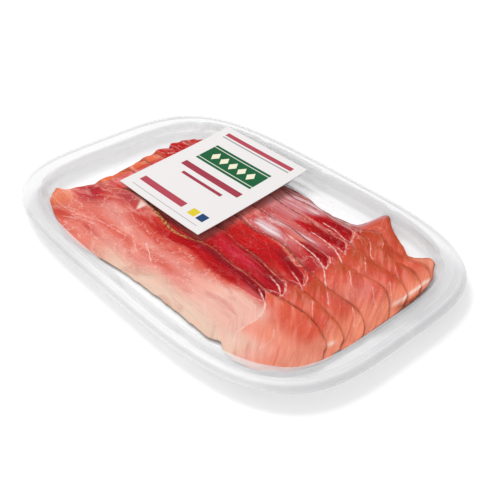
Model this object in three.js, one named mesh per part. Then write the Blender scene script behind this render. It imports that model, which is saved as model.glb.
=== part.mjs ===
// Sealed shallow tray of thin cured-meat slices: a flanged plastic tray, eight slices laid in a shingled
// row, a clear lid film over them and a card label lying on the film.
// Millimetres. X runs along the tray, Y across it, Z up. The origin is the middle of the tray's foot.

import * as THREE from 'three';

// Tray
const FLANGE_HALF_X = 124.6;
const FLANGE_HALF_Y = 82.2;
const FLANGE_POWER = 3.77;
const FLANGE_TOP = 12;
const CAVITY_HALF_X = 113.2;
const CAVITY_HALF_Y = 76.2;
const CAVITY_POWER = 4;
const FLOOR_HALF_X = 105.2;
const FLOOR_HALF_Y = 68.2;
const FLOOR_TOP = 0.9;
const WALL = 0.8;
const LIP_FLARE = 1.3;
const LIP_BOTTOM = 8.3;
const BEAD_RISE = 0.35;
const LUG_DEPTH = 1.5;
const LUG_WIDTH = 3.2;
const LUG_X = [-52, 2, 54];
const CORNER_LUG_X = 100;

// Lid film
const FILM_HALF_X = 123.4;
const FILM_HALF_Y = 80.6;
const FILM_THICKNESS = 0.35;
const FILM_SAG = 1.5;
const GAP = 0.3;

// Label
const LABEL_LENGTH = 73;
const LABEL_WIDTH = 90;
const LABEL_THICKNESS = 0.35;
const LABEL_CENTRE = [-39.2, 22.8];
const LABEL_TURN = 2.2;
const LABEL_SKEW = 0.045;

// Slices, from the topmost at the front to the lowest at the back
const SLICE_THICKNESS = 0.8;
const SLICE_PITCH = 1.35;
const SLICE_WIDTH = 45;
const SLICE_FLOOR_GAP = 0.95;
const FOLD_LIFT = 2.4;
const WALL_CLEARANCE = 1.5;
const DRAPE_MARGIN = 1.5;
const DRAPE_LENGTH = 24;
const BACK_EDGE_LEFT = [-27, -7, 5.5, 17, 29, 41, 50, 56.5];
const BACK_EDGE_MIDDLE = [-21, -6, 8.4, 22.6, 38, 50.2, 53.5, 56.5];
const BACK_EDGE_RIGHT = [-21, -9.6, 1.6, 21.8, 35, 44.5, 52.5, 61];
const TURN_FROM = [38, 20, 28, 38, 50, 66, 66, 38];
const TURN_TO = [76, 60, 68, 76, 84, 90, 90, 76];
const FRONT_FROM = [-22.5, -7.5, 9.5, 25, 36.5, 45, 51.5, 56.5];
const SWELL = 2.2;
const LEFT_END = [-87, -88, -89, -90.5, -93, -96, -97, -94];
const RIGHT_END = [104.6, 106, 107.6, 108.4, 109, 109.4, 109.6, 109.2];

const ALONG = 28;
const ACROSS = 8;

function smoothstep(from, to, value) {
  const t = Math.min(1, Math.max(0, (value - from) / (to - from)));
  return t * t * (3 - 2 * t);
}

function bump(value, centre, width) {
  return Math.exp(-(((value - centre) / width) ** 2));
}

// Distance from the centre to a superellipse along one direction.
function superRadius(angle, halfX, halfY, power) {
  const c = Math.abs(Math.cos(angle)) / halfX;
  const s = Math.abs(Math.sin(angle)) / halfY;
  return (c ** power + s ** power) ** (-1 / power);
}

// 1 on a superellipse, less inside it.
function superLevel(x, y, halfX, halfY, power) {
  return ((Math.abs(x) / halfX) ** power + (Math.abs(y) / halfY) ** power) ** (1 / power);
}

// Directions that cut the flange edge into equal lengths, with extra ones at the lugs.
function ringAngles(count, extra) {
  const fine = 3600;
  const at = [];
  let length = 0;
  let previous = null;
  for (let i = 0; i <= fine; i += 1) {
    const angle = (i / fine) * 2 * Math.PI;
    const radius = superRadius(angle, FLANGE_HALF_X, FLANGE_HALF_Y, FLANGE_POWER);
    const point = [radius * Math.cos(angle), radius * Math.sin(angle)];
    if (previous) {
      length += Math.hypot(point[0] - previous[0], point[1] - previous[1]);
    }
    at.push([length, angle]);
    previous = point;
  }
  const angles = [];
  let next = 0;
  for (const [along, angle] of at) {
    if (next < count && along >= (next / count) * length) {
      angles.push(angle);
      next += 1;
    }
  }
  const merged = [...angles];
  for (const angle of extra) {
    const nearest = Math.min(...merged.map((a) => Math.abs(a - angle)));
    if (nearest > 0.004) {
      merged.push(angle);
    }
  }
  return merged.sort((a, b) => a - b);
}

function lugPlaces() {
  const places = [];
  for (const side of [1, -1]) {
    for (const x of LUG_X) {
      places.push([x, side * CAVITY_HALF_Y * (1 - (Math.abs(x) / CAVITY_HALF_X) ** 4) ** 0.25]);
    }
    for (const x of [CORNER_LUG_X, -CORNER_LUG_X]) {
      const y = CAVITY_HALF_Y * (1 - (CORNER_LUG_X / CAVITY_HALF_X) ** 4) ** 0.25;
      places.push([x, side * y]);
    }
  }
  return places;
}

function lugAngles() {
  const angles = [];
  for (const [x, y] of lugPlaces()) {
    for (const shift of [-1.5, 0, 1.5]) {
      const angle = Math.atan2(y, x) + (shift * LUG_WIDTH) / Math.hypot(x, y);
      angles.push((angle + 2 * Math.PI) % (2 * Math.PI));
    }
  }
  return angles;
}

// How far the cavity wall steps inward at a lug.
function lugInset(x, y) {
  let inset = 0;
  for (const [lugX, lugY] of lugPlaces()) {
    const away = Math.hypot(x - lugX, y - lugY);
    inset = Math.max(inset, LUG_DEPTH * (1 - smoothstep(LUG_WIDTH * 0.6, LUG_WIDTH * 1.6, away)));
  }
  return inset;
}

function meshOf(name, positions, triangles, colour) {
  const geometry = new THREE.BufferGeometry();
  geometry.setAttribute('position', new THREE.Float32BufferAttribute(positions, 3));
  geometry.setIndex(triangles);
  geometry.computeVertexNormals();
  const mesh = new THREE.Mesh(geometry, new THREE.MeshStandardMaterial({ color: colour }));
  mesh.name = name;
  return mesh;
}

// Closed solid from rings of equal count: a fan at the first and last centre, quads between rings.
function ringSolid(name, rings, firstCentre, lastCentre, colour) {
  const count = rings[0].length;
  const positions = [...firstCentre];
  for (const ring of rings) {
    for (const point of ring) {
      positions.push(...point);
    }
  }
  positions.push(...lastCentre);
  const last = 1 + rings.length * count;
  const triangles = [];
  for (let i = 0; i < count; i += 1) {
    const j = (i + 1) % count;
    triangles.push(0, 1 + i, 1 + j);
    for (let r = 0; r + 1 < rings.length; r += 1) {
      const a = 1 + r * count + i;
      const b = 1 + r * count + j;
      const c = a + count;
      const d = b + count;
      triangles.push(a, c, b, b, c, d);
    }
    triangles.push(last, last - count + j, last - count + i);
  }
  return meshOf(name, positions, triangles, colour);
}

function trayRing(angles, halfX, halfY, power, z, lugShare) {
  return angles.map((angle) => {
    const radius = superRadius(angle, halfX, halfY, power);
    const x = radius * Math.cos(angle);
    const y = radius * Math.sin(angle);
    const rim = superRadius(angle, CAVITY_HALF_X, CAVITY_HALF_Y, CAVITY_POWER);
    const inset = lugShare * lugInset(rim * Math.cos(angle), rim * Math.sin(angle));
    const shrink = 1 - inset / radius;
    return [x * shrink, y * shrink, z];
  });
}

function makeTray() {
  const angles = ringAngles(60, lugAngles());
  const ring = (inset, power, z, lugShare, halfX, halfY) =>
    trayRing(angles, halfX - inset, halfY - inset, power, z, lugShare);
  const flange = (inset, z) => ring(inset, FLANGE_POWER, z, 0, FLANGE_HALF_X, FLANGE_HALF_Y);
  const cavity = (inset, z, share) => ring(inset, CAVITY_POWER, z, share, CAVITY_HALF_X, CAVITY_HALF_Y);
  const floor = (inset, z) => ring(inset, CAVITY_POWER, z, 0, FLOOR_HALF_X, FLOOR_HALF_Y);
  const rings = [
    floor(0, FLOOR_TOP),
    cavity(5.7, FLOOR_TOP + 0.7, 0.4),
    cavity(3.9, 4.6, 1),
    cavity(1.2, 11.2, 1),
    cavity(0, FLANGE_TOP, 0.8),
    flange(5.4, FLANGE_TOP),
    flange(4.6, FLANGE_TOP + BEAD_RISE),
    flange(3.8, FLANGE_TOP),
    flange(0.9, FLANGE_TOP - 0.1),
    flange(0, FLANGE_TOP - 0.9),
    flange(-0.3, LIP_BOTTOM + 1.3),
    flange(-LIP_FLARE, LIP_BOTTOM + 0.7),
    flange(-LIP_FLARE, LIP_BOTTOM),
    flange(0.4, LIP_BOTTOM + 0.7),
    flange(0.9, FLANGE_TOP - 1.4),
    flange(1.4, FLANGE_TOP - WALL - 0.1),
    cavity(-0.9, FLANGE_TOP - WALL, 0.8),
    cavity(0.3, 10.8, 1),
    cavity(3.1, 4.2, 1),
    cavity(5.0, 0.5, 0.4),
    floor(-0.4, 0),
  ];
  return ringSolid('tray', rings, [0, 0, FLOOR_TOP], [0, 0, 0], 0xe6e8ea);
}

// Underside of the lid film: flat over the flange, sagging a little over the cavity.
function filmUnderside(x, y) {
  const level = Math.min(1, superLevel(x, y, CAVITY_HALF_X, CAVITY_HALF_Y, CAVITY_POWER));
  return FLANGE_TOP + BEAD_RISE + GAP - FILM_SAG * (1 - level ** 3);
}

function makeFilm() {
  const angles = ringAngles(48, []);
  const shares = [0.2, 0.4, 0.58, 0.74, 0.86, 0.94, 1];
  const level = (share, lift) => angles.map((angle) => {
    const radius = share * superRadius(angle, FILM_HALF_X, FILM_HALF_Y, FLANGE_POWER);
    const x = radius * Math.cos(angle);
    const y = radius * Math.sin(angle);
    return [x, y, filmUnderside(x, y) + lift];
  });
  const top = shares.map((share) => level(share, FILM_THICKNESS));
  const bottom = shares.map((share) => level(share, 0)).reverse();
  const middle = filmUnderside(0, 0);
  const centre = [0, 0, middle + FILM_THICKNESS];
  return ringSolid('lid_film', [...top, ...bottom], centre, [0, 0, middle], 0xf4f8fa);
}

// Closed sheet over a grid: place(u, v) gives the middle of its underside, lifted by the thickness.
function sheetSolid(name, place, across, along, thickness, colour) {
  const positions = [];
  for (const lift of [thickness, 0]) {
    for (let i = 0; i <= along; i += 1) {
      for (let j = 0; j <= across; j += 1) {
        const [x, y, z] = place(i / along, j / across);
        positions.push(x, y, z + lift);
      }
    }
  }
  const row = across + 1;
  const layer = (along + 1) * row;
  const triangles = [];
  for (let i = 0; i < along; i += 1) {
    for (let j = 0; j < across; j += 1) {
      const a = i * row + j;
      const b = a + row;
      triangles.push(a, b, a + 1, a + 1, b, b + 1);
      triangles.push(layer + a, layer + a + 1, layer + b, layer + a + 1, layer + b + 1, layer + b);
    }
  }
  const edge = [];
  for (let i = 0; i < along; i += 1) {
    edge.push(i * row);
  }
  for (let j = 0; j < across; j += 1) {
    edge.push(along * row + j);
  }
  for (let i = along; i > 0; i -= 1) {
    edge.push(i * row + across);
  }
  for (let j = across; j > 0; j -= 1) {
    edge.push(j);
  }
  edge.forEach((a, i) => {
    const b = edge[(i + 1) % edge.length];
    triangles.push(a, layer + a, b, b, layer + a, layer + b);
  });
  return meshOf(name, positions, triangles, colour);
}

function makeLabel() {
  const turn = (LABEL_TURN * Math.PI) / 180;
  const place = (u, v) => {
    const along = (u - 0.5) * LABEL_LENGTH;
    const across = (v - 0.5) * LABEL_WIDTH;
    const skewed = along - across * LABEL_SKEW;
    const x = LABEL_CENTRE[0] + skewed * Math.cos(turn) - across * Math.sin(turn);
    const y = LABEL_CENTRE[1] + along * Math.sin(turn) * 0.2 + across * Math.cos(turn);
    return [x, y, filmUnderside(x, y) + FILM_THICKNESS + GAP];
  };
  return sheetSolid('label', place, 6, 6, LABEL_THICKNESS, 0xf4f0ee);
}

// Back edge of a slice: the crusted side that shows in the shingled row.
function backEdge(slice, x) {
  const middle = BACK_EDGE_MIDDLE[slice];
  const right = BACK_EDGE_RIGHT[slice];
  const droop = 9 * Math.max(0, (x - 84) / 22) ** 2;
  const ripple = 0.7 * Math.sin(x / 11 + slice * 2.1) + 0.5 * Math.sin(x / 5.3 + slice);
  const toLeft = (BACK_EDGE_LEFT[slice] - middle) * smoothstep(-50, -88, x);
  const toRight = (right - middle) * smoothstep(TURN_FROM[slice], TURN_TO[slice], x);
  let edge = middle + toLeft + toRight - droop + ripple;
  if (slice === 6) {
    edge += 7 * bump(x, 57, 10);
  }
  if (slice === 7) {
    edge += 13 * bump(x, 55, 9) + 5 * bump(x, 66, 10) - 6 * bump(x, 84, 8);
  }
  return edge;
}

// Front edge: straight for most of its length, with two lobes and a rounded right end.
function frontEdge(slice, x) {
  const fullWidth = SLICE_WIDTH - 0.035 * (x + 60);
  const rise = (slice === 0 ? 15 : 5) * Math.max(0, (x - 78) / 27) ** 2;
  const ends = 8 * smoothstep(-76, -100, x) - 2 * bump(x, -64, 22);
  const lobes = slice === 0 ? ends + 3 * bump(x, 63.5, 3.4) + 1.6 * bump(x, 40, 26) : 0;
  const slope = 0.035 * (x - 20);
  return FRONT_FROM[slice] - fullWidth + slope * 0.4 + rise + lobes;
}

// 1 where a slice lies, falling to 0 over the drape length outside it.
function cover(slice, x, y) {
  const clampedX = Math.min(RIGHT_END[slice], Math.max(LEFT_END[slice], x));
  const outside = Math.max(
    frontEdge(slice, clampedX) - y,
    y - backEdge(slice, clampedX),
    LEFT_END[slice] - x,
    x - RIGHT_END[slice],
  );
  return 1 - smoothstep(DRAPE_MARGIN, DRAPE_MARGIN + DRAPE_LENGTH, outside);
}

// Gentle waves that all slices share, the swell in the middle of the pile, and the lift where the slices
// run up the back and end walls.
function waves(x, y) {
  const roll = 0.28 * Math.sin(x / 17 + y / 23) + 0.2 * Math.sin(x / 10 - y / 15);
  const back = 7 * bump(x, 56, 14) * smoothstep(57, 72, y);
  const rightEnd = 4.6 * smoothstep(80, 118, x) * smoothstep(-12, 46, y);
  const leftEnd = 1.6 * smoothstep(-74, -96, x);
  const swellAlong = smoothstep(-90, -62, x) * smoothstep(106, 78, x);
  const swell = SWELL * swellAlong * smoothstep(-58, -34, y) * smoothstep(4, -24, y);
  return roll + back + rightEnd + leftEnd + swell;
}

// Moves a point of a slice inward where it would meet the sloping cavity wall.
function insideWall(x, y, z) {
  const low = Math.min(Math.max(z, FLOOR_TOP + 0.7), 4.6);
  const high = Math.max(z, 4.6);
  const inset = 5.7 - (low - FLOOR_TOP - 0.7) * 0.6 - (high - 4.6) * 0.41 + WALL_CLEARANCE;
  const level = superLevel(x, y, CAVITY_HALF_X - inset, CAVITY_HALF_Y - inset, CAVITY_POWER);
  const share = Math.min(1, 1 / level);
  return [x * share, y * share];
}

function sliceUnderside(slice, x, y) {
  let layers = 0;
  for (let lower = slice + 1; lower < BACK_EDGE_MIDDLE.length; lower += 1) {
    layers += cover(lower, x, y);
  }
  return FLOOR_TOP + SLICE_FLOOR_GAP + SLICE_PITCH * layers + waves(x, y);
}

function makeSlice(slice) {
  const place = (u, v) => {
    const s = 2 * u - 1;
    const t = 2 * v - 1;
    const middleX = (LEFT_END[slice] + RIGHT_END[slice]) / 2;
    const halfX = (RIGHT_END[slice] - LEFT_END[slice]) / 2;
    const roundedHalf = halfX * (1 - 0.05 * t ** 4);
    let x = middleX + roundedHalf * s;
    if (slice === 0) {
      x -= 13 * bump(v, 0.22, 0.22) * smoothstep(-0.55, -1, s);
    }
    const front = frontEdge(slice, x);
    const y = front + (backEdge(slice, x) - front) * v;
    const [inX, inY] = insideWall(x, y, sliceUnderside(slice, x, y));
    const fold = slice === 0 ? FOLD_LIFT * smoothstep(-66, -96, inX) : 0;
    return [inX, inY, sliceUnderside(slice, inX, inY) + fold];
  };
  return sheetSolid(`slice_${slice + 1}`, place, ACROSS, ALONG, SLICE_THICKNESS, 0xc8504a);
}

const pack = new THREE.Group();
pack.add(makeTray());
for (let slice = 0; slice < BACK_EDGE_MIDDLE.length; slice += 1) {
  pack.add(makeSlice(slice));
}
pack.add(makeFilm());
pack.add(makeLabel());

export default pack;
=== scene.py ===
"""Sealed tray of thin cured-meat slices: a frosted plastic tray, eight shingled slices, a clear lid film
and a plain card label. Shapes are worked out in millimetres and placed in metres. X runs along the tray, Y
from its front to its back, Z up, and the origin is the middle of its foot."""

import math

import bmesh
import bpy
import numpy as np
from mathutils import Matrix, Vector


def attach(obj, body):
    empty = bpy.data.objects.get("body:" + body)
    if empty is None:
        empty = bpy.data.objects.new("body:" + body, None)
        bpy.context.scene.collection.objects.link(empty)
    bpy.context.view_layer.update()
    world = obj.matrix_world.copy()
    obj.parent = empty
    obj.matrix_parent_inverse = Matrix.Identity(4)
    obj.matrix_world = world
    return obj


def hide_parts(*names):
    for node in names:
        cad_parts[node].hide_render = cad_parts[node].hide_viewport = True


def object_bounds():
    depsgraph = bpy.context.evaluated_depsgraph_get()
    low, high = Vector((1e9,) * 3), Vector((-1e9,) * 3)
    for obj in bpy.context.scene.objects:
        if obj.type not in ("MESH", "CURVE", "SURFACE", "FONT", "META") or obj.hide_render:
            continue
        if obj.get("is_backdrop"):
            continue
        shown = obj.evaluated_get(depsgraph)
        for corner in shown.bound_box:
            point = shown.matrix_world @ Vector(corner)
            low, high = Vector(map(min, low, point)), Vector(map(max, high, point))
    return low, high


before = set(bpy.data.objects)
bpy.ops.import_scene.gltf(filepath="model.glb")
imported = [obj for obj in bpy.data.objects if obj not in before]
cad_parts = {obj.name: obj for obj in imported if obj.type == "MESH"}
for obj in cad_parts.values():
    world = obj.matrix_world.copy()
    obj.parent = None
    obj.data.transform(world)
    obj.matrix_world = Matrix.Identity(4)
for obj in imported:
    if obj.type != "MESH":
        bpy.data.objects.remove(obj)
cad_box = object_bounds()

MM = 0.001

# Camera, at the photograph's viewing angle. Place and distance are in metres, lens and sensor in millimetres.
CAMERA_TARGET = (0.030, -0.0104, 0.012)
CAMERA_DISTANCE = 0.3965
CAMERA_AZIMUTH = math.radians(48.4)
CAMERA_ELEVATION = math.radians(36.8)
CAMERA_LENS = 55.08
CAMERA_SENSOR = 36

# Studio, in metres and watts
FLOOR_SIZE = 8
LIGHT_PLACE = (-1.02, 0.06, 1.72)
LIGHT_SIZE = 1.0
LIGHT_ENERGY = 26.5
WORLD_STRENGTH = 0.775
WORLD_WHITE = (1, 1, 1, 1)

# How much brighter than its own reflectance a surface shows in this studio
LIGHT_LEVEL = 1.23

# Tray, in millimetres as everything from here on
FLANGE_HALF = (124.6, 82.2)
FLANGE_POWER = 3.77
FLANGE_TOP = 12.0
CAVITY_HALF = (113.2, 76.2)
CAVITY_POWER = 4.0
FLOOR_HALF = (105.2, 68.2)
FLOOR_TOP = 0.9
LIP_FLARE = 1.3
LIP_BOTTOM = 8.3
BEAD_RISE = 0.35
LUG_DEPTH = 1.5
LUG_WIDTH = 3.2
LUG_X = (-52, 2, 54)
CORNER_LUG_X = 100
TRAY_POINTS = 360

# Inner side of the cavity's wall: how far it stands in at its foot, and how fast it opens below and above
# its bend
WALL_FOOT = FLOOR_TOP + 0.7
WALL_FOOT_INSET = 5.7
WALL_BEND = 4.6
WALL_OPENING_LOW = 0.6
WALL_OPENING_HIGH = 0.41

# Lid film. Its two faces lie at FILM_FACES above film_underside(), and the label leaves it FILM_THICKNESS.
FILM_HALF = (123.4, 80.6)
FILM_THICKNESS = 0.35
FILM_FACES = (0.05, 0.2)
FILM_SAG = 2.1
FILM_GAP = 0.3
FILM_POINTS = 240

# Label. Its long sides are turned, and its short ones rise less.
LABEL_SIZE = (73.0, 90.0)
LABEL_CENTRE = (-39.2, 22.8)
LABEL_TURN = math.radians(2.2)
LABEL_RISE = 0.2 * math.sin(LABEL_TURN)
LABEL_SKEW = 0.045
LABEL_GAP = 0.2
CARD_THICKNESS = 0.35

# Plain fields of the label: left, right, near and far side on the card, and the colour on screen
LABEL_FIELDS = (
    ((-26, 26, -5.5, -0.5), (160, 52, 70)),
    ((-18, 18, -12, -9.5), (160, 52, 70)),
    ((-30, 10, -35, -30), (178, 66, 82)),
    ((16, 22, -36, -30), (222, 200, 40)),
    ((23.5, 29.5, -36, -30), (24, 62, 110)),
    ((-30, 30, 34, 35), (150, 150, 150)),
    ((-30, 30, -40.4, -40), (150, 150, 150)),
    ((-30, 30, 36.5, 40), (178, 66, 82)),
)

# Slices, from the topmost at the front to the lowest at the back
SLICES = 8
SLICE_PITCH = 1.35
SLICE_WIDTH = 45.0
SLICE_FLOOR_GAP = 0.95
SLICE_THICKNESS = 0.85
FOLD_LIFT = 2.4
WALL_CLEARANCE = 1.4
DRAPE_MARGIN = 0.5
DRAPE_LENGTH = 7.0
BACK_EDGE_LEFT = (-27, -7, 5.5, 17, 29, 41, 50, 56.5)
BACK_EDGE_MIDDLE = (-21, -6, 8.4, 22.6, 38, 50.2, 53.5, 56.5)
BACK_EDGE_RIGHT = (-21, -9.6, 3.4, 21.8, 35, 44.5, 52.5, 61)
TURN_FROM = (38, 20, 34, 38, 50, 66, 66, 38)
TURN_TO = (76, 60, 72, 76, 84, 90, 90, 76)
FRONT_FROM = (-22.5, -7.5, 9.5, 25, 36.5, 45, 51.5, 56.5)
SWELL = 2.2
LEFT_END = (-87, -88, -89, -90.5, -93, -96, -97, -94)
RIGHT_END = (104.6, 106, 107.6, 108.4, 109, 109.4, 109.6, 109.2)
LEFT_END_FRONT = -89.5
FRONT_DROP = 0.8
FRONT_LOWEST = FLOOR_TOP + 0.15
CRUST_ROWS = 1.35
CELLS_ALONG = 120
CELLS_ACROSS = 26

# The colours are laid out on a level plane at SHOWN_AT, seen from the camera: a point that lies higher than
# the plane shows further left and further back on it, by these shares of the height.
SHOWN_AT = 7
SHOWN_LEFT = 1.0
SHOWN_BACK = 0.8875
FILM_SHOWN_AT = 11.4

# Patterns of neighbouring slices are taken this far apart, so that no two slices are alike.
PILE_STEP = 40.0

# Crust at the right end of the lowest slices, and a distance that counts as out of reach
END_CRUST = 1.6
FAR = 9.0


# ---------------------------------------------------------------- numbers

def smooth(low, high, value):
    """0 at low, 1 at high, with an even start and end. The range may run downwards."""
    t = np.clip((value - low) / (high - low), 0, 1)
    return t * t * (3 - 2 * t)


def bump(value, centre, width):
    return np.exp(-(((value - centre) / width) ** 2))


def hills(x, y, seed):
    """Smooth random hills from 0 to 1 with one value per unit cell."""
    table = np.random.default_rng(seed).random((64, 64))
    column, row = np.floor(x).astype(int), np.floor(y).astype(int)
    across, up = x - column, y - row
    across, up = across * across * (3 - 2 * across), up * up * (3 - 2 * up)
    corner = lambda i, j: table[(column + i) % 64, (row + j) % 64]
    low = corner(0, 0) * (1 - across) + corner(1, 0) * across
    high = corner(0, 1) * (1 - across) + corner(1, 1) * across
    return low * (1 - up) + high * up


def super_radius(angle, half, power):
    """Distance from the centre to a superellipse along one direction."""
    c = np.abs(np.cos(angle)) / half[0]
    s = np.abs(np.sin(angle)) / half[1]
    return (c**power + s**power) ** (-1 / power)


def super_level(x, y, half, power):
    """1 on a superellipse, less inside it."""
    return ((np.abs(x) / half[0]) ** power + (np.abs(y) / half[1]) ** power) ** (1 / power)


def ring_angles(count):
    """Directions that cut the flange edge into equal lengths."""
    fine = np.linspace(0, 2 * math.pi, 7201)
    radius = super_radius(fine, FLANGE_HALF, FLANGE_POWER)
    x, y = radius * np.cos(fine), radius * np.sin(fine)
    length = np.concatenate([[0], np.cumsum(np.hypot(np.diff(x), np.diff(y)))])
    return np.interp((np.arange(count) + 0.5) / count * length[-1], length, fine)


# ---------------------------------------------------------------- mesh making

def clear_selection():
    if bpy.context.object and bpy.context.object.mode != "OBJECT":
        bpy.ops.object.mode_set(mode="OBJECT")
    bpy.ops.object.select_all(action="DESELECT")


def name_piece(name):
    piece = bpy.context.object
    piece.name = name
    piece.data.name = name
    return piece


def modify(piece, kind, **settings):
    """Adds a modifier and applies it."""
    clear_selection()
    bpy.context.view_layer.objects.active = piece
    piece.select_set(True)
    modifier = piece.modifiers.new(kind.lower(), kind)
    for key, value in settings.items():
        setattr(modifier, key, value)
    bpy.ops.object.modifier_apply(modifier=modifier.name)


def smooth_piece(piece, degrees=40):
    clear_selection()
    bpy.context.view_layer.objects.active = piece
    piece.select_set(True)
    bpy.ops.object.shade_smooth_by_angle(angle=math.radians(degrees))


def loft(name, rings):
    """Closed shell: a circle is extruded ring by ring, each new ring is moved to its place, and both ends
    are filled."""
    clear_selection()
    bpy.ops.mesh.primitive_circle_add(vertices=len(rings[0]), radius=1, fill_type="NOTHING")
    piece = name_piece(name)
    bpy.ops.object.mode_set(mode="EDIT")
    bpy.ops.mesh.select_all(action="SELECT")
    for index, ring in enumerate(rings):
        if index:
            bpy.ops.mesh.extrude_edges_move()
        mesh = bmesh.from_edit_mesh(piece.data)
        chosen = [v for v in mesh.verts if v.select]
        chosen.sort(key=lambda v: math.atan2(v.co.y, v.co.x) % (2 * math.pi))
        for vertex, place in zip(chosen, ring):
            vertex.co = [value * MM for value in place]
        bmesh.update_edit_mesh(piece.data)
    bpy.ops.mesh.edge_face_add()
    bpy.ops.mesh.select_all(action="DESELECT")
    bpy.ops.mesh.select_mode(type="EDGE")
    bpy.ops.mesh.select_non_manifold()
    bpy.ops.mesh.edge_face_add()
    bpy.ops.mesh.select_all(action="SELECT")
    bpy.ops.mesh.normals_make_consistent(inside=False)
    bpy.ops.mesh.select_mode(type="VERT")
    bpy.ops.object.mode_set(mode="OBJECT")
    return piece


def sheet(name, along, across, place, thickness):
    """Grid shaped by place(u, v), then thickened upwards. place returns millimetres."""
    clear_selection()
    bpy.ops.mesh.primitive_grid_add(x_subdivisions=along, y_subdivisions=across, size=2)
    piece = name_piece(name)
    points = get_points(piece.data)
    shaped = place(points[:, 0] / 2 + 0.5, points[:, 1] / 2 + 0.5)
    set_points(piece.data, np.stack(shaped, 1) * MM)
    modify(piece, "SOLIDIFY", thickness=thickness * MM, offset=1)
    return piece


def get_points(mesh):
    points = np.zeros(len(mesh.vertices) * 3)
    mesh.vertices.foreach_get("co", points)
    return points.reshape(-1, 3)


def set_points(mesh, points):
    mesh.vertices.foreach_set("co", points.astype(np.float32).ravel())
    mesh.update()


def give(mesh, name, kind, values):
    """Stores one value or vector per vertex under a name that a material reads."""
    attribute = mesh.attributes.new(name, kind, "POINT")
    key = {"FLOAT": "value", "FLOAT_VECTOR": "vector", "FLOAT_COLOR": "color"}[kind]
    attribute.data.foreach_set(key, np.asarray(values, np.float32).ravel())


def finish_piece(piece, material, slot, *nodes):
    piece.data.materials.clear()
    piece.data.materials.append(material)
    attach(piece, "root")
    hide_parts(*nodes)


# ---------------------------------------------------------------- tray

def lug_places():
    """Middles of the stacking lugs, all on the cavity's edge."""
    def edge(x):
        return CAVITY_HALF[1] * (1 - (abs(x) / CAVITY_HALF[0]) ** CAVITY_POWER) ** (1 / CAVITY_POWER)

    middle = [(x, side * edge(x)) for side in (1, -1) for x in LUG_X]
    corner = [(end * CORNER_LUG_X, side * edge(CORNER_LUG_X)) for side in (1, -1) for end in (1, -1)]
    return middle + corner


def lug_inset(x, y):
    """How far the cavity wall steps inward at a lug."""
    inset = np.zeros_like(x)
    for lug_x, lug_y in lug_places():
        away = np.hypot(x - lug_x, y - lug_y)
        inset = np.maximum(inset, LUG_DEPTH * (1 - smooth(LUG_WIDTH * 0.6, LUG_WIDTH * 1.5, away)))
    return inset


def tray_rings():
    """Profile of the tray, from the middle of its floor up the cavity, over the flange, round the lip and
    back below to the middle of the foot. Each ring says how far it lies in from its outline and how high,
    and in the cavity how much of the lugs it shows."""
    angles = ring_angles(TRAY_POINTS)
    rim = super_radius(angles, CAVITY_HALF, CAVITY_POWER)
    lugs = lug_inset(rim * np.cos(angles), rim * np.sin(angles))

    def ring(half, power, inset, height, share=0.0, scale=1.0):
        radius = super_radius(angles, (half[0] - inset, half[1] - inset), power) - share * lugs
        radius = radius * scale
        return np.stack([radius * np.cos(angles), radius * np.sin(angles), np.full_like(radius, height)], 1)

    def floor(inset, height, scale=1.0):
        return ring(FLOOR_HALF, CAVITY_POWER, inset, height, 0, scale)

    def cavity(inset, height, share):
        return ring(CAVITY_HALF, CAVITY_POWER, inset, height, share)

    def flange(inset, height):
        return ring(FLANGE_HALF, FLANGE_POWER, inset, height)

    return [
        floor(0, FLOOR_TOP, 0.3),
        floor(0, FLOOR_TOP, 0.7),
        floor(0, FLOOR_TOP, 0.95),
        floor(0, FLOOR_TOP),
        cavity(6.4, FLOOR_TOP + 0.25, 0.3),
        cavity(5.2, FLOOR_TOP + 1.3, 0.7),
        cavity(4.1, 4.6, 1),
        cavity(3.2, 6.2, 1),
        cavity(1.5, 10.6, 1),
        cavity(0.9, 11.6, 1),
        cavity(0.1, 11.95, 0.9),
        flange(9.6, FLANGE_TOP),
        flange(8.6, FLANGE_TOP - 0.25),
        flange(7.6, FLANGE_TOP),
        flange(5.3, FLANGE_TOP),
        flange(4.9, FLANGE_TOP + 0.25),
        flange(4.5, FLANGE_TOP + BEAD_RISE),
        flange(4.1, FLANGE_TOP + 0.25),
        flange(3.7, FLANGE_TOP),
        flange(2.6, FLANGE_TOP),
        flange(2.3, FLANGE_TOP - 0.25),
        flange(1.9, FLANGE_TOP),
        flange(0.9, FLANGE_TOP - 0.05),
        flange(0.2, FLANGE_TOP - 0.5),
        flange(-0.05, FLANGE_TOP - 1.2),
        flange(-0.3, LIP_BOTTOM + 1.4),
        flange(-0.8, LIP_BOTTOM + 0.9),
        flange(-LIP_FLARE, LIP_BOTTOM + 0.65),
        flange(-LIP_FLARE - 0.05, LIP_BOTTOM + 0.3),
        flange(-LIP_FLARE + 0.3, LIP_BOTTOM + 0.1),
        flange(0.3, LIP_BOTTOM + 0.6),
        flange(0.8, 10.4),
        flange(1.4, 11.1),
        flange(3.4, 11.2),
        cavity(-0.9, 11.2, 0.8),
        cavity(-0.1, 10.8, 1),
        cavity(2.4, 6.0, 1),
        cavity(3.4, 3.4, 1),
        cavity(5.0, 0.6, 0.5),
        floor(-1.0, 0.15),
        floor(0.4, 0),
        floor(0, 0, 0.9),
        floor(0, 0, 0.5),
    ]


def soften(rings):
    """Rounds the profile: each ring between the first and last gives way to two, a quarter of the way to its
    neighbours."""
    rings = np.array(rings)
    before, after = rings[:-1], rings[1:]
    cut = np.stack([before * 0.75 + after * 0.25, before * 0.25 + after * 0.75], 1)
    return [rings[0], *cut.reshape(-1, *rings.shape[1:]), rings[-1]]


def make_tray():
    piece = loft("tray_shell", soften(tray_rings()))
    smooth_piece(piece, 60)
    return piece


# ---------------------------------------------------------------- lid film and label

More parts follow.
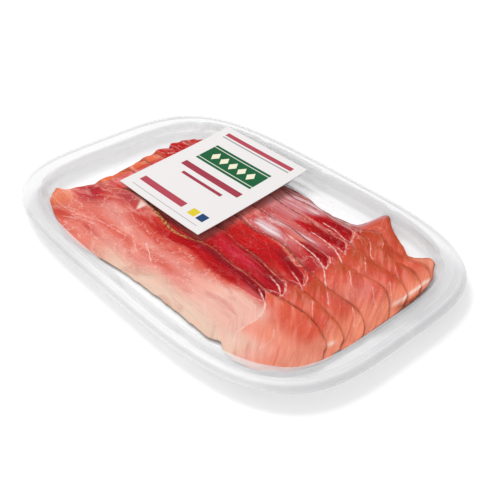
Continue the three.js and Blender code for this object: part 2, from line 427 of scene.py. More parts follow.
def film_underside(x, y):
    """Height of the film's underside: flat over the flange, sagging a little over the cavity."""
    level = np.minimum(1, super_level(x, y, CAVITY_HALF, CAVITY_POWER))
    return FLANGE_TOP + BEAD_RISE + FILM_GAP - FILM_SAG * (1 - level**3)


def film_ripple(x, y):
    """Shallow folds in the stretched film, none over the flange."""
    inside = 1 - smooth(0.86, 1.0, super_level(x, y, CAVITY_HALF, CAVITY_POWER))
    fold = np.sin(x / 9.0 + y / 21.0 + 2 * hills(x / 30, y / 30, 3)) * 0.10
    return inside * (fold + 0.22 * (hills(x / 16, y / 11, 5) - 0.5))


def make_film():
    """A thin shell of rings that lie closer together towards the flange."""
    angles = ring_angles(FILM_POINTS)
    edge = super_radius(angles, FILM_HALF, FLANGE_POWER)
    shares = np.concatenate([np.linspace(0.05, 0.9, 40), np.linspace(0.91, 1.0, 10)])

    def level(share, lift):
        x, y = share * edge * np.cos(angles), share * edge * np.sin(angles)
        return np.stack([x, y, film_underside(x, y) + film_ripple(x, y) + lift], 1)

    low, high = FILM_FACES
    top = [level(share, high) for share in shares]
    bottom = [level(share, low) for share in shares[::-1]]
    piece = loft("lid_film_sheet", top + bottom)
    smooth_piece(piece, 60)
    return piece


def label_place(u, v):
    """Shapes the label: it follows the film, and its front right corner and left side lift a little."""
    along = (u - 0.5) * LABEL_SIZE[0]
    across = (v - 0.5) * LABEL_SIZE[1]
    skewed = along - across * LABEL_SKEW
    x = LABEL_CENTRE[0] + skewed * math.cos(LABEL_TURN) - across * math.sin(LABEL_TURN)
    y = LABEL_CENTRE[1] + along * LABEL_RISE + across * math.cos(LABEL_TURN)
    lift = 0.25 * bump(u, 1, 0.12) * bump(v, 0, 0.12) + 0.12 * bump(u, 0, 0.2)
    return x, y, film_underside(x, y) + FILM_THICKNESS + LABEL_GAP + lift


def make_label():
    """The card, with each point's place on it, in the card's own millimetres, stored for its material."""
    piece = sheet("label_card", 48, 60, label_place, CARD_THICKNESS)
    points = get_points(piece.data) / MM
    across = (points[:, 1] - LABEL_CENTRE[1]) / math.cos(LABEL_TURN)
    skewed = (points[:, 0] - LABEL_CENTRE[0] + across * math.sin(LABEL_TURN)) / math.cos(LABEL_TURN)
    along = skewed + across * LABEL_SKEW
    across = across - along * LABEL_RISE
    give(piece.data, "card", "FLOAT_VECTOR", np.stack([along, across, points[:, 2]], 1))
    smooth_piece(piece, 40)
    return piece


# ---------------------------------------------------------------- slices

def back_edge(k, x):
    """Back edge of a slice: the crusted side that shows in the shingled row."""
    droop = 9 * np.maximum(0, (x - 84) / 22) ** 2
    ripple = 0.7 * np.sin(x / 11 + k * 2.1) + 0.5 * np.sin(x / 5.3 + k)
    middle, right = BACK_EDGE_MIDDLE[k], BACK_EDGE_RIGHT[k]
    to_left = (BACK_EDGE_LEFT[k] - middle) * smooth(-50, -88, x)
    to_right = (right - middle) * smooth(TURN_FROM[k], TURN_TO[k], x)
    edge = middle + to_left + to_right - droop + ripple
    if k == 0:
        edge = edge - 3.4 * bump(x, -16, 15)
    if k == 6:
        edge = edge + 7 * bump(x, 57, 10)
    if k == 7:
        edge = edge + 12 * bump(x, 53.5, 8) + 2.5 * bump(x, 65, 9) - 3.5 * bump(x, 82, 7)
    return edge


def front_edge(k, x):
    """Front edge: nearly straight, with two lobes on the topmost slice and a rounded right end."""
    width = SLICE_WIDTH - 0.035 * (x + 60)
    rise = (15 if k == 0 else 5) * np.maximum(0, (x - 78) / 27) ** 2
    edge = FRONT_FROM[k] - width + 0.014 * (x - 20) + rise
    if k == 0:
        edge = edge + 8 * smooth(-76, -100, x) - 2 * bump(x, -64, 22)
        edge = edge + 3 * bump(x, 63.5, 3.4) + 1.6 * bump(x, 40, 26) + 3 * bump(x, 2, 32)
    return edge


def cover(k, x, y):
    """1 where a slice lies, falling to 0 over the drape length outside it."""
    inside = np.clip(x, LEFT_END[k], RIGHT_END[k])
    outside = np.maximum.reduce([
        front_edge(k, inside) - y,
        y - back_edge(k, inside),
        LEFT_END[k] - x,
        x - RIGHT_END[k],
    ])
    return 1 - smooth(DRAPE_MARGIN, DRAPE_MARGIN + DRAPE_LENGTH, outside)


def waves(x, y):
    """Waves that all slices share, the swell of the pile, and the lift where the slices run up the walls."""
    roll = 0.28 * np.sin(x / 17 + y / 23) + 0.2 * np.sin(x / 10 - y / 15)
    back = 7 * bump(x, 56, 14) * smooth(57, 72, y)
    right_end = 4.6 * smooth(80, 118, x) * smooth(-12, 46, y)
    left_end = 1.6 * smooth(-74, -96, x)
    swell = SWELL * smooth(-90, -62, x) * smooth(106, 78, x) * smooth(-58, -34, y) * smooth(4, -24, y)
    corner = 4.2 * bump(x, 96, 9) * smooth(36, 50, y)
    return roll + back + right_end + left_end + swell + corner


def inside_wall(x, y, z):
    """Moves a point of a slice inward where it would meet the sloping cavity wall."""
    low = np.clip(z, WALL_FOOT, WALL_BEND) - WALL_FOOT
    high = np.maximum(z, WALL_BEND) - WALL_BEND
    inset = WALL_FOOT_INSET - low * WALL_OPENING_LOW - high * WALL_OPENING_HIGH + WALL_CLEARANCE
    level = super_level(x, y, (CAVITY_HALF[0] - inset, CAVITY_HALF[1] - inset), CAVITY_POWER)
    share = np.minimum(1, 1 / np.maximum(level, 1e-6))
    return x * share, y * share


def slice_underside(k, x, y):
    """Height of a slice's underside: it rests on as many slices as lie below it there."""
    layers = sum((cover(lower, x, y) for lower in range(k + 1, SLICES)), np.zeros_like(x))
    return FLOOR_TOP + SLICE_FLOOR_GAP + SLICE_PITCH * layers + waves(x, y)


def slice_place(k):
    """The function that shapes the grid of one slice. Behind the topmost one only a strip along the crust
    shows, so the rows of the grid lie closer there."""
    middle = (LEFT_END[k] + RIGHT_END[k]) / 2
    half = (RIGHT_END[k] - LEFT_END[k]) / 2

    def place(u, v):
        v = v if k == 0 else 1 - (1 - v) ** CRUST_ROWS
        s, t = 2 * u - 1, 2 * v - 1
        x = middle + half * (1 - 0.05 * t**4) * s
        if k == 0:
            x = x - 13 * bump(v, 0.22, 0.22) * smooth(-0.55, -1, s)
        front = front_edge(k, x)
        across = back_edge(k, x) - front
        x = x + (LEFT_END_FRONT - LEFT_END[k]) * smooth(-0.8, -1, s) * smooth(8, 17, across * (1 - v))
        y = front + across * v
        y = y + (hills(x / 3.1, y * 0 + k, 11) - 0.5) * 0.9 * np.abs(t) ** 6
        x = x + (hills(y / 3.3, x * 0 + k, 12) - 0.5) * 1.6 * np.abs(s) ** 12
        x, y = inside_wall(x, y, slice_underside(k, x, y))
        z = slice_underside(k, x, y)
        if k == 0:
            z = z + FOLD_LIFT * smooth(-66, -96, x)
            drop = np.minimum(FRONT_DROP, np.maximum(z - FRONT_LOWEST, 0))
            z = z - drop * smooth(-54, -63, y) * smooth(-60, -40, x)
        return x, y, z

    return place


def make_slice(k):
    """One slice, with low relief along its fibres and a rough crust."""
    piece = sheet(f"slice_{k + 1}_meat", CELLS_ALONG, CELLS_ACROSS, slice_place(k), SLICE_THICKNESS)
    modify(piece, "SUBSURF", levels=1, render_levels=1)
    points = get_points(piece.data) / MM
    x, y = points[:, 0], points[:, 1]
    depth = back_edge(k, x) - y
    relief = (hills(x / 5, depth / 2.2, 20 + k) - 0.5) * 0.22
    crust = (hills(x / 0.9, depth / 0.7, 40 + k) - 0.4) * 0.35 * (1 - smooth(0.3, 1.6, depth))
    points[:, 2] += relief + crust
    set_points(piece.data, points * MM)
    paint_slice(piece.data, k, points, depth)
    smooth_piece(piece, 70)
    return piece


# ---------------------------------------------------------------- flesh colours

def colour(red, green, blue):
    """Linear reflectance that shows as these screen values, 0 to 255, under the studio's light."""
    value = np.array([red, green, blue]) / 255
    return np.where(value <= 0.04045, value / 12.92, ((value + 0.055) / 1.055) ** 2.4) / LIGHT_LEVEL


CRIMSON = colour(184, 4, 14)
DARK_CRIMSON = colour(132, 2, 14)
WINE = colour(140, 2, 20)
BRIGHT_RED = colour(206, 20, 20)
ROSE = colour(210, 42, 66)
DARK_ROSE = colour(172, 34, 46)
PAINTED_LABEL_SHADE = colour(178, 62, 70)
MEAT_RED = colour(198, 46, 42)
RED_SALMON = colour(210, 70, 54)
SALMON = colour(221, 94, 70)
ORANGE = colour(230, 112, 68)
RUST = colour(186, 70, 38)
PINK = colour(232, 150, 138)
PALE = colour(238, 184, 168)
CREAM = colour(232, 202, 180)
PEACH = colour(224, 136, 110)
FAT = colour(244, 222, 210)


def blend(base, tint, share):
    share = np.clip(share, 0, 1)[:, None]
    return base * (1 - share) + tint * share


# Steps between two points of a line, how far its strength fades past its ends, and how far from it it counts
LINE_STEPS = 6
LINE_FADE = 2.0
LINE_REACH = 12


def line_field(points, x, y):
    """Signed distance to a smooth line through points, and a strength that fades past its two ends. Each
    stretch between two points is a Catmull-Rom curve."""
    fine = []
    points = [np.array(p, float) for p in points]
    ends = [2 * points[0] - points[1]] + points + [2 * points[-1] - points[-2]]
    for a, b, c, d in zip(ends, ends[1:], ends[2:], ends[3:]):
        for t in np.linspace(0, 1, LINE_STEPS, endpoint=False):
            fine.append(0.5 * (2 * b + (c - a) * t + (2 * a - 5 * b + 4 * c - d) * t**2
                               + (3 * b - a - 3 * c + d) * t**3))
    fine.append(points[-1])
    best = np.full_like(x, 1e9)
    signed = np.zeros_like(x)
    strength = np.zeros_like(x)
    last = len(fine) - 2
    for index, (a, b) in enumerate(zip(fine, fine[1:])):
        step = b - a
        length = np.hypot(*step)
        t = ((x - a[0]) * step[0] + (y - a[1]) * step[1]) / length**2
        side = ((x - a[0]) * step[1] - (y - a[1]) * step[0]) / length
        over = np.maximum(0, -t if index == 0 else 0) + np.maximum(0, t - 1 if index == last else 0)
        clamped = np.clip(t, 0, 1)
        away = np.hypot(x - a[0] - clamped * step[0], y - a[1] - clamped * step[1])
        closer = away < best
        best = np.where(closer, away, best)
        signed = np.where(closer, np.where(over > 0, side, np.sign(side) * away), signed)
        strength = np.where(closer, 1 - smooth(0, LINE_FADE, over * length), strength)
    return signed, strength * (best < LINE_REACH)


# Veins of each slice: the strength of each and its points in millimetres. A slice has up to six, which are
# stored as two sets of three.
VEIN_SETS = ("a", "b")
VEINS = (
    (
        (1.0, (53, -24.5), (58, -27), (63, -30), (66.5, -35), (68, -41), (68.2, -48), (69.5, -54), (74, -60)),
        (0.7, (42, -51), (47, -54.5), (52, -59.5)),
        (0.6, (-92, -57), (-82, -58.5), (-70, -57.5), (-62, -55), (-52, -51), (-42, -49.5), (-30, -48)),
        (0.6, (-70, -64), (-60, -58), (-50, -54.5)),
        (0.8, (-16, -44), (-9, -47.5), (-2, -51.5)),
        (0.5, (78, -38), (83, -44), (84, -52)),
    ),
    (
        (0.9, (50, -13.5), (57, -15.3), (61.5, -18.5), (64.5, -22)),
        (0.8, (56, -9.5), (61, -14), (63.3, -18.5)),
        (0.5, (76.5, -11), (80, -14.5), (84, -18.5)),
    ),
    (
        (0.85, (54, -2.6), (60, -4.6), (65, -7.2), (69, -9.8), (73, -13.5)),
        (0.7, (60.6, 1.6), (63.2, -1.2), (64.8, -5)),
        (0.6, (76, 0), (79.5, -3), (83, -6.6)),
        (0.5, (93, 0), (98, -4), (102.5, -9)),
    ),
    (
        (1.0, (28, 18.4), (42, 17.4), (53, 15.6), (61, 12.2), (66.5, 8), (71, 4), (75, 0.5)),
        (0.7, (57, 21), (60.8, 17.5), (62.4, 12.6)),
        (0.6, (72, 20), (76, 16.5), (80, 12.6)),
        (0.4, (88, 19), (93, 14.5), (99, 9.5)),
    ),
    (
        (1.0, (36, 30), (46, 29.6), (54.5, 28), (61, 24.8), (66.5, 21)),
        (0.7, (54.5, 37.5), (57.6, 33.4), (60.5, 29)),
        (0.6, (69, 36), (73.4, 31), (77.2, 27)),
        (0.4, (92, 28), (97, 22.5), (102, 17)),
    ),
    (
        (0.8, (34, 41.5), (44, 41), (51, 39), (56, 36.4)),
        (0.7, (50, 49.5), (53.4, 44.5), (56, 39.5)),
        (0.6, (61.5, 49), (66, 44), (70.5, 39), (73.5, 37.2)),
        (0.4, (86, 40), (90, 36.5), (95, 33)),
    ),
    (
        (0.5, (50, 57), (52, 53), (54, 49)),
        (0.5, (62, 58), (67.5, 53), (71, 48.5)),
    ),
    (
        (0.4, (52, 71), (54.5, 66), (58, 62)),
    ),
)

# Long red muscle of each slice: where its tip is, how deep its lower side lies in the middle and at the tip,
# how wide the pale band under the crust grows, and where the muscle starts on the left.
TIP_X = (62, 64, 66, 63, 61, 56, 50, 40)
TIP_DEPTH = (8.0, 10.5, 10, 9.5, 8.5, 10.0, 4, 3)
EYE_DEPTH = (11.5, 17, 20, 5.5, 7.5, 9.0, 5, 4)
BAND = (0.3, 0.8, 2.6, 0.9, 0.8, 0.6, 1.0, 1.0)
BAND_FROM = (0, 25, 18, 30, 24, 22, 20, 20)
EYE_FROM = (-34, -76, -76, 31, 20, 18, 60, 60)


def eye_field(k, x, depth):
    """Above 0 inside the long red muscle that ends in a rounded tip on the right, in millimetres."""
    near = smooth(TIP_X[k] - 10, TIP_X[k] + 1, x) ** 1.7
    band = 0.8 + BAND[k] * smooth(BAND_FROM[k], BAND_FROM[k] + 34, x)
    upper = band + (TIP_DEPTH[k] - band) * near
    reach = EYE_DEPTH[k] + (TIP_DEPTH[k] - EYE_DEPTH[k]) * smooth(TIP_X[k] - 30, TIP_X[k], x)
    lower = reach - 0.4 * near - (3.2 * bump(x, -12, 20) if k == 0 else 0)
    uneven = (hills(x / 11, depth / 5 + k * 7, 60) - 0.5) * 1.2
    start = (x - EYE_FROM[k] - (2 * np.sin(depth) if k == 0 else 9 * smooth(7, 2, depth))) * 0.25
    past = (TIP_X[k] + 0.8 - x) * 0.9
    return np.minimum.reduce([depth - upper, lower - depth + uneven, start, past])


def patch(x, y, cx, cy, rx, ry):
    """1 in the middle of a soft oval patch, 0 far outside it."""
    return np.exp(-(((x - cx) / rx) ** 2) - ((y - cy) / ry) ** 2)


def plain(tint, x):
    return np.tile(tint, (len(x), 1))


# Soft patches of the topmost slice, painted one over the other: colour, strength, centre and half sizes.
FRONT_PATCHES = (
    (MEAT_RED, 0.9, -38, -30, 20, 7),
    (MEAT_RED, 0.7, -60, -28, 12, 5),
    (PINK, 0.95, -56, -37, 10, 4.5),
    (PINK, 0.95, -42, -42, 18, 4.5),
    (RED_SALMON, 0.8, -18, -37, 20, 4.5),
    (PINK, 0.7, -12, -43, 14, 3.5),
    (RED_SALMON, 0.6, -42, -50, 22, 3.0),
    (PINK, 0.8, -34, -57, 20, 4),
    (MEAT_RED, 0.7, -52, -60, 9, 3),
    (RED_SALMON, 0.7, 2, -48, 13, 3.5),
    (DARK_ROSE, 1.2, -79, -37, 12, 9),
    (ROSE, 0.5, -82, -43, 7, 5),
    # Painted shadow of the label's front edge on the topmost slice
    (PAINTED_LABEL_SHADE, 0.9, -60, -24, 13, 5),
    (MEAT_RED, 0.8, -71, -34, 7, 4),
)


def flesh_front(x, y, depth):
    """Colours of the topmost slice, which shows whole."""
    flesh = plain(colour(227, 122, 106), x)
    flesh = blend(flesh, RED_SALMON, 0.7 * smooth(-36, 4, x) * smooth(18, 13, depth))
    flesh = blend(flesh, PINK, 0.8 * smooth(-30, 8, x) * smooth(14, 21, depth))
    flesh = blend(flesh, PALE, smooth(15, 45, x) * smooth(12, 18, depth + 5 * smooth(35, 52, x)))
    flesh = blend(flesh, CREAM, 0.95 * smooth(-46, -8, x) * smooth(27, 37, depth))
    for tint, strength, *place in FRONT_PATCHES:
        flesh = blend(flesh, tint, strength * patch(x, y, *place))
    flesh = blend(flesh, ORANGE, smooth(-76, -88, x) * smooth(-44, -49, y))
    flesh = blend(flesh, RED_SALMON, 0.85 * patch(x, y, -74, -64, 14, 5))
    flesh = blend(flesh, PEACH, 0.8 * patch(x, y, -90, -54, 6, 5))
    wedge = smooth(0.7, -0.7, abs(x + 48.3 + (y + 24) * 0.35) - 0.4 * (y + 29)) * smooth(-19, -21, y)
    flesh = blend(flesh, FAT, 0.95 * wedge)
    seam, _ = line_field(VEINS[0][0][1:], x, y)
    lobe = blend(plain(SALMON, x), colour(236, 142, 118), smooth(-30, -42, y))
    lobe = blend(lobe, PEACH, 0.8 * smooth(92, 100, x))
    lobe = blend(lobe, colour(242, 176, 160), smooth(96, 80, x) * smooth(-44, -54, y))
    lobe = blend(lobe, colour(238, 194, 174), smooth(88, 74, x) * smooth(-48, -57, y))
    lobe = blend(lobe, PALE, 0.9 * patch(x, y, 65, -37, 6, 6))
    right = smooth(-0.8, 0.8, -seam) * smooth(52, 56, x)
    return flesh * (1 - right[:, None]) + lobe * right[:, None]


def flesh_behind(k, x, y, depth):
    """Colours of a slice of which only the strip along the crust shows."""
    flesh = plain(MEAT_RED, x)
    if k >= 3:
        flesh = blend(flesh, colour(204, 92, 90), 0.7 * smooth(50, 36, x))
        # Painted shadow of the label on the slices beside it
        flesh = blend(flesh, colour(156, 40, 52), 0.9 * patch(x, y, -3, 27, 10, 2.6))
        flesh = blend(flesh, MEAT_RED, 0.8 * patch(x, y, 50, 15, 12, 3))
        flesh = blend(flesh, MEAT_RED, 0.8 * patch(x, y, -1, 18, 6, 3.5))
    flesh = blend(flesh, PEACH, 0.5 * smooth(14, 36, x) * smooth(4.6, 2.6, depth) * smooth(56, 46, x))
    flesh = blend(flesh, colour(184, 40, 44), 0.9 * smooth(40, 54, x) * smooth(5, 8, depth))
    mottle = hills(x / 9, depth / 6 + k * 5, 70)
    right = blend(plain(SALMON, x), RED_SALMON, 1.3 * mottle - 0.3)
    right = blend(right, RUST, (0.25 + 0.1 * k) * smooth(6, 1, depth) * (0.4 + mottle))
    right = blend(right, colour(214, 104, 94), 0.8 * patch(x, y, 84, 12, 10, 14) * (0.5 + mottle))
    right = blend(right, PEACH, 0.3 * smooth(72, 80, x) * smooth(8, 12, depth))
    right = blend(right, colour(234, 138, 108), smooth(89, 104, x))
    right = blend(right, RUST, 0.9 * patch(x, depth, TIP_X[k] + 4, 4, 9, 4))
    right = blend(right, RUST, (0.25 + 0.6 * mottle) * patch(x, y, 74, 40, 15, 17))
    flesh = flesh + (right - flesh) * smooth(TIP_X[k] - 5, TIP_X[k] + 2, x)[:, None]
    flesh = blend(flesh, MEAT_RED if k > 1 else colour(206, 84, 84), smooth(-60, -80, x))
    flesh = blend(flesh, CRIMSON, 0.9 * smooth(-80, -86, x) * smooth(16, 24, y) * smooth(50, 44, y))
    flesh = blend(flesh, ORANGE, 0.9 * smooth(-82, -86, x) * smooth(22, 16, y))
    flesh = blend(flesh, PEACH, 0.9 * smooth(-83, -87, x) * smooth(4.5, 1.5, depth) * smooth(24, 18, y))
    flesh = blend(flesh, FAT, 0.8 * patch(x, y, 103.6, -29 + 3 * k, 1.1, 2.6) * (k < 3))
    if k >= 3:
        along_end = smooth(12, 20, y) * smooth(50, 42, y)
        flesh = blend(flesh, FAT, 0.85 * bump(x, 104.4 - 0.03 * y, 0.9) * along_end)
        flesh = blend(flesh, colour(146, 66, 40), 0.85 * smooth(105.4, 106.6, x) * along_end)
    if k >= 6:
        flesh = blend(flesh, PEACH, 0.9 * smooth(82, 88, x) * smooth(50, 54, y))
    return flesh


def core_colour(k, x, depth):
    """Colours inside the long red muscle."""
    core = plain(CRIMSON, x)
    if k == 0:
        core = blend(core, RED_SALMON, 0.6 * smooth(-14, -34, x))
        core = blend(core, colour(206, 92, 92), 0.8 * smooth(38, 54, x) * smooth(3.5, 6, depth))
        return blend(core, WINE, smooth(-20, 10, x) * smooth(5.2, 2.6, depth - 0.035 * x))
    if k == 1:
        core = blend(core, ROSE, 0.9 * patch(x, depth, 28, 6.5, 22, 3.2))
        core = blend(core, DARK_CRIMSON, 0.8 * patch(x, depth, 52, 5, 8, 3.5))
        return blend(core, DARK_CRIMSON, 0.85 * patch(x, depth, 40, 2.6, 22, 2.2))
    if k == 2:
        core = blend(core, BRIGHT_RED, 0.9 * smooth(56, 30, x + 2 * depth))
        core = blend(core, RED_SALMON, 0.6 * smooth(9, 12, depth) * smooth(36, 50, x))
        return blend(core, DARK_CRIMSON, 0.85 * patch(x, depth, 47, 5, 20, 2.6))
    return blend(core, DARK_CRIMSON, 0.75 * patch(x, depth, TIP_X[k] - 14, 4, 14, 3.5))


def film_haze_and_reflection_share(k, x, y):
    """How strongly the pale film clings to the meat: a pale streaky haze over the back of the pile, partly
    the film's milky look and partly a painted reflection of the film.
    """
    if k < 3:
        return 0 * x
    back = smooth(27, 32, y) * smooth(54, 44, x) * (0.8 + 0.2 * smooth(38, 44, y))
    wedges = smooth(17, 25, x + 1.2 * (40 - y)) * smooth(48.6, 46.5, y) * smooth(36.6, 38, y)
    wedges = np.maximum(wedges, smooth(18, 24, x) * smooth(38, 36, y) * smooth(27.5, 29.5, y))
    back = back * (1 - wedges)
    line = 1.1 * bump(y, 24.6 - 0.02 * x, 2.2) * smooth(3, 10, x) * smooth(60, 40, x)
    lower = 1.2 * bump(y, 14.6 - 0.03 * x, 2.8) * smooth(3, 9, x) * smooth(50, 20, x)
    peak = 0.9 * smooth(47, 52, y) * smooth(53.5, 50, x - (y - 50) * 0.04)
    return np.maximum.reduce([back, line, lower, peak]) * smooth(-14, 2, x)


def crust_width(k, x):
    """Width of the crusted edge in millimetres."""
    base = 0.8 + 0.35 * hills(x / 6, x * 0 + k, 80)
    return base + (1.5 * bump(x, -26, 18) if k == 0 else 0) - 0.35 * smooth(60, 75, x)


def paint_slice(mesh, k, points, depth):
    """Stores what the meat's material reads. The colours lie where the photograph's angle shows them."""
    x, y, height = points[:, 0], points[:, 1], points[:, 2] - SHOWN_AT
    shown_x, shown_y = x - SHOWN_LEFT * height, y + SHOWN_BACK * height
    paint_colours(mesh, k, shown_x, shown_y, depth)
    paint_muscle(mesh, k, shown_x, depth)
    paint_edges(mesh, k, points, depth, film_haze_and_reflection_share(k, shown_x, shown_y))
    paint_veins(mesh, k, shown_x, shown_y)
    slant = depth - 0.9 * np.maximum(0, shown_x - 60)
    pile = np.full_like(x, k * PILE_STEP)
    give(mesh, "lay", "FLOAT_VECTOR", np.stack([shown_x, slant, pile], 1))


def paint_colours(mesh, k, shown_x, shown_y, depth):
    """Stores the colours outside and inside the long red muscle, both lightened with painted light where the
    label's shadow falls on them.
    """
    if k == 0:
        flesh = flesh_front(shown_x, shown_y, depth)
    else:
        flesh = flesh_behind(k, shown_x, shown_y, depth)
    core = core_colour(k, shown_x, depth)
    # Painted light: flesh and core beside the label are lightened to soften the label's shadow
    painted_light_beside_label = 0.75 * smooth(5, -3, shown_x) * smooth(-84, -80, shown_x) * smooth(-23, -19, shown_y)
    for name, tint in (("flesh", flesh), ("core", core)):
        tint = blend(tint, colour(230, 124, 116), painted_light_beside_label)
        give(mesh, name, "FLOAT_COLOR", np.concatenate([tint, np.ones((len(tint), 1))], 1))


def paint_muscle(mesh, k, shown_x, depth):
    """Stores where the long red muscle lies, how sharp its rim is and how strong the vein along its rim."""
    lower_side = smooth(3, 6, depth) if k == 0 else 0 * depth
    sharp = 1.6 - 1.15 * lower_side * smooth(58, 40, shown_x)
    fade = 0.7 * smooth(TIP_X[k] - 14, TIP_X[k] - 3, shown_x)
    give(mesh, "eye", "FLOAT_VECTOR", np.stack([eye_field(k, shown_x, depth), sharp, fade], 1))


def paint_edges(mesh, k, points, depth, veil):
    """Stores how far in from the crust a point is, in crust widths, how far it is from the edge of the slice
    above, which sets the painted shade, and how strongly the film clings to it, which sets its haze and
    painted reflection."""
    x, y = points[:, 0], points[:, 1]
    rim = depth / crust_width(k, x)
    if k >= 5:
        rim = np.minimum(rim, (RIGHT_END[k] - x) / END_CRUST)
    over = y - back_edge(k - 1, x) if k else np.full_like(x, FAR)
    give(mesh, "rim", "FLOAT_VECTOR", np.stack([rim, over, veil], 1))


def paint_veins(mesh, k, shown_x, shown_y):
    """Stores the signed distance to each vein and its strength, in sets of three."""
    fields = []
    for gain, *line in VEINS[k]:
        away, strength = line_field(line, shown_x, shown_y)
        fields.append((away, strength * gain))
    while len(fields) < 3 * len(VEIN_SETS):
        fields.append((np.full_like(shown_x, FAR), np.zeros_like(shown_x)))
    for index, name in enumerate(VEIN_SETS):
        trio = fields[3 * index: 3 * index + 3]
        give(mesh, f"vein_{name}", "FLOAT_VECTOR", np.stack([f[0] for f in trio], 1))
        give(mesh, f"gain_{name}", "FLOAT_VECTOR", np.stack([f[1] for f in trio], 1))


# ---------------------------------------------------------------- material tools

class Value:
    """A number on a surface: wraps a socket, and arithmetic on it adds Math nodes."""

    def __init__(self, paint, socket):
        self.paint = paint
        self.socket = socket

    def math(self, operation, *others):
        inputs = dict(enumerate([self, *others]))
        return self.paint.node("ShaderNodeMath", {"operation": operation}, inputs)

    def __add__(self, other):
        return self.math("ADD", other)

    __radd__ = __add__

    def __mul__(self, other):
        return self.math("MULTIPLY", other)

    __rmul__ = __mul__

    def __sub__(self, other):
        return self.math("SUBTRACT", other)

    def __rsub__(self, other):
        return self.paint.node("ShaderNodeMath", {"operation": "SUBTRACT"}, {0: other, 1: self})

    def __truediv__(self, other):
        return self.math("DIVIDE", other)

    def __abs__(self):
        return self.math("ABSOLUTE")

    def least(self, other):
        return self.math("MINIMUM", other)

    def most(self, other):
        return self.math("MAXIMUM", other)

    def smooth(self, low, high):
        """0 at low and 1 at high, with an even start and end."""
        settings = {"interpolation_type": "SMOOTHSTEP"}
        if low > high:
            return 1 - self.smooth(high, low)
        return self.paint.node("ShaderNodeMapRange", settings, {0: self, 1: low, 2: high})


class Paint:
    """The node tree of one material."""

    def __init__(self, name):
        self.material = bpy.data.materials.new(name)
        self.material.use_nodes = True
        self.tree = self.material.node_tree
        self.tree.nodes.clear()

    def node(self, kind, settings=None, inputs=None, output=0):
        node = self.tree.nodes.new(kind)
        for key, value in (settings or {}).items():
            setattr(node, key, value)
        for key, value in (inputs or {}).items():
            if isinstance(value, Value):
                self.tree.links.new(value.socket, node.inputs[key])
            else:
                node.inputs[key].default_value = value
        return Value(self, node.outputs[output]) if len(node.outputs) else None

    def attribute(self, name, output="Vector"):
        return self.node("ShaderNodeAttribute", {"attribute_name": name}, output=output)

    def position(self):
        return self.node("ShaderNodeTexCoord", output="Object")

    def split(self, vector):
        node = self.node("ShaderNodeSeparateXYZ", None, {0: vector}).socket.node
        return [Value(self, socket) for socket in node.outputs]

    def scaled(self, vector, x, y, z):
        return self.node("ShaderNodeVectorMath", {"operation": "MULTIPLY"}, {0: vector, 1: (x, y, z)})

    def added(self, first, second):
        return self.node("ShaderNodeVectorMath", {"operation": "ADD"}, {0: first, 1: second})

    def noise(self, vector, scale, detail=3, roughness=0.5, distortion=0.0, output="Fac"):
        inputs = {"Vector": vector, "Scale": scale, "Detail": detail, "Roughness": roughness,
                  "Distortion": distortion}
        return self.node("ShaderNodeTexNoise", None, inputs, output)

    def cell_edges(self, vector):
        """Distance to the nearest edge of a net of random cells, about one for each unit."""
        inputs = {"Vector": vector, "Scale": 1.0}
        return self.node("ShaderNodeTexVoronoi", {"feature": "DISTANCE_TO_EDGE"}, inputs)

    def mix(self, share, first, second, mode="MIX"):
        settings = {"data_type": "RGBA", "blend_type": mode, "clamp_factor": True}
        first = first if isinstance(first, Value) else rgba(first)
        second = second if isinstance(second, Value) else rgba(second)
        return self.node("ShaderNodeMix", settings, {0: share, 6: first, 7: second}, 2)

    def grey(self, value):
        return self.node("ShaderNodeCombineXYZ", None, {0: value, 1: value, 2: value})

    def relief(self, height, distance, strength):
        """A normal that shows the height as relief of up to this distance in millimetres."""
        inputs = {"Height": height, "Distance": distance * MM, "Strength": strength}
        return self.node("ShaderNodeBump", None, inputs)

    def surface(self, **values):
        """The one shader of the material. Its sockets are named with underscores for spaces."""
        inputs = {key.replace("_", " "): value for key, value in values.items()}
        for key in ("Base Color", "Emission Color"):
            if key in inputs and not isinstance(inputs[key], Value):
                inputs[key] = rgba(inputs[key])
        shader = self.node("ShaderNodeBsdfPrincipled", None, inputs)
        self.node("ShaderNodeOutputMaterial", None, {"Surface": shader})
        return self.material


def rgba(value):
    return (*[float(v) for v in value][:3], 1.0)


# ---------------------------------------------------------------- materials

def tray_material():
    """Frosted plastic, milky on the flange. The walls and floor are painted whiter to lift their shade, and
    the front right is painted whiter as painted light.
    """
    paint = Paint("frosted_tray_plastic")
    at = paint.position()
    x, y, z = paint.split(paint.scaled(at, 1000, 1000, 1000))
    cloud = paint.noise(at, 22, 3, 0.5)
    grain = paint.noise(at, 900, 2, 0.6)
    flow = paint.noise(paint.scaled(at, 18, 60, 60), 1.0, 3, 0.5)
    base = paint.mix(cloud.smooth(0.3, 0.7), (0.64, 0.638, 0.65), (0.68, 0.68, 0.69))
    # Painted light: the walls, the floor and the front right are made whiter, lifting their shade
    painted_light_front_right = y.smooth(-55, -78) * x.smooth(-60, 30) * 0.45
    base = paint.mix(z.smooth(9, 4).most(painted_light_front_right), base, (0.96, 0.955, 0.96))
    base = paint.mix(flow.smooth(0.55, 0.8) * 0.3, base, (0.92, 0.92, 0.925))
    return paint.surface(
        Base_Color=base, Roughness=0.30 + 0.12 * grain + 0.08 * cloud, IOR=1.49,
        Alpha=0.15 + 0.06 * cloud + 0.2 * z.smooth(4, 9), Specular_IOR_Level=0.32,
        Normal=paint.relief(grain + flow, 0.02, 0.6),
    )


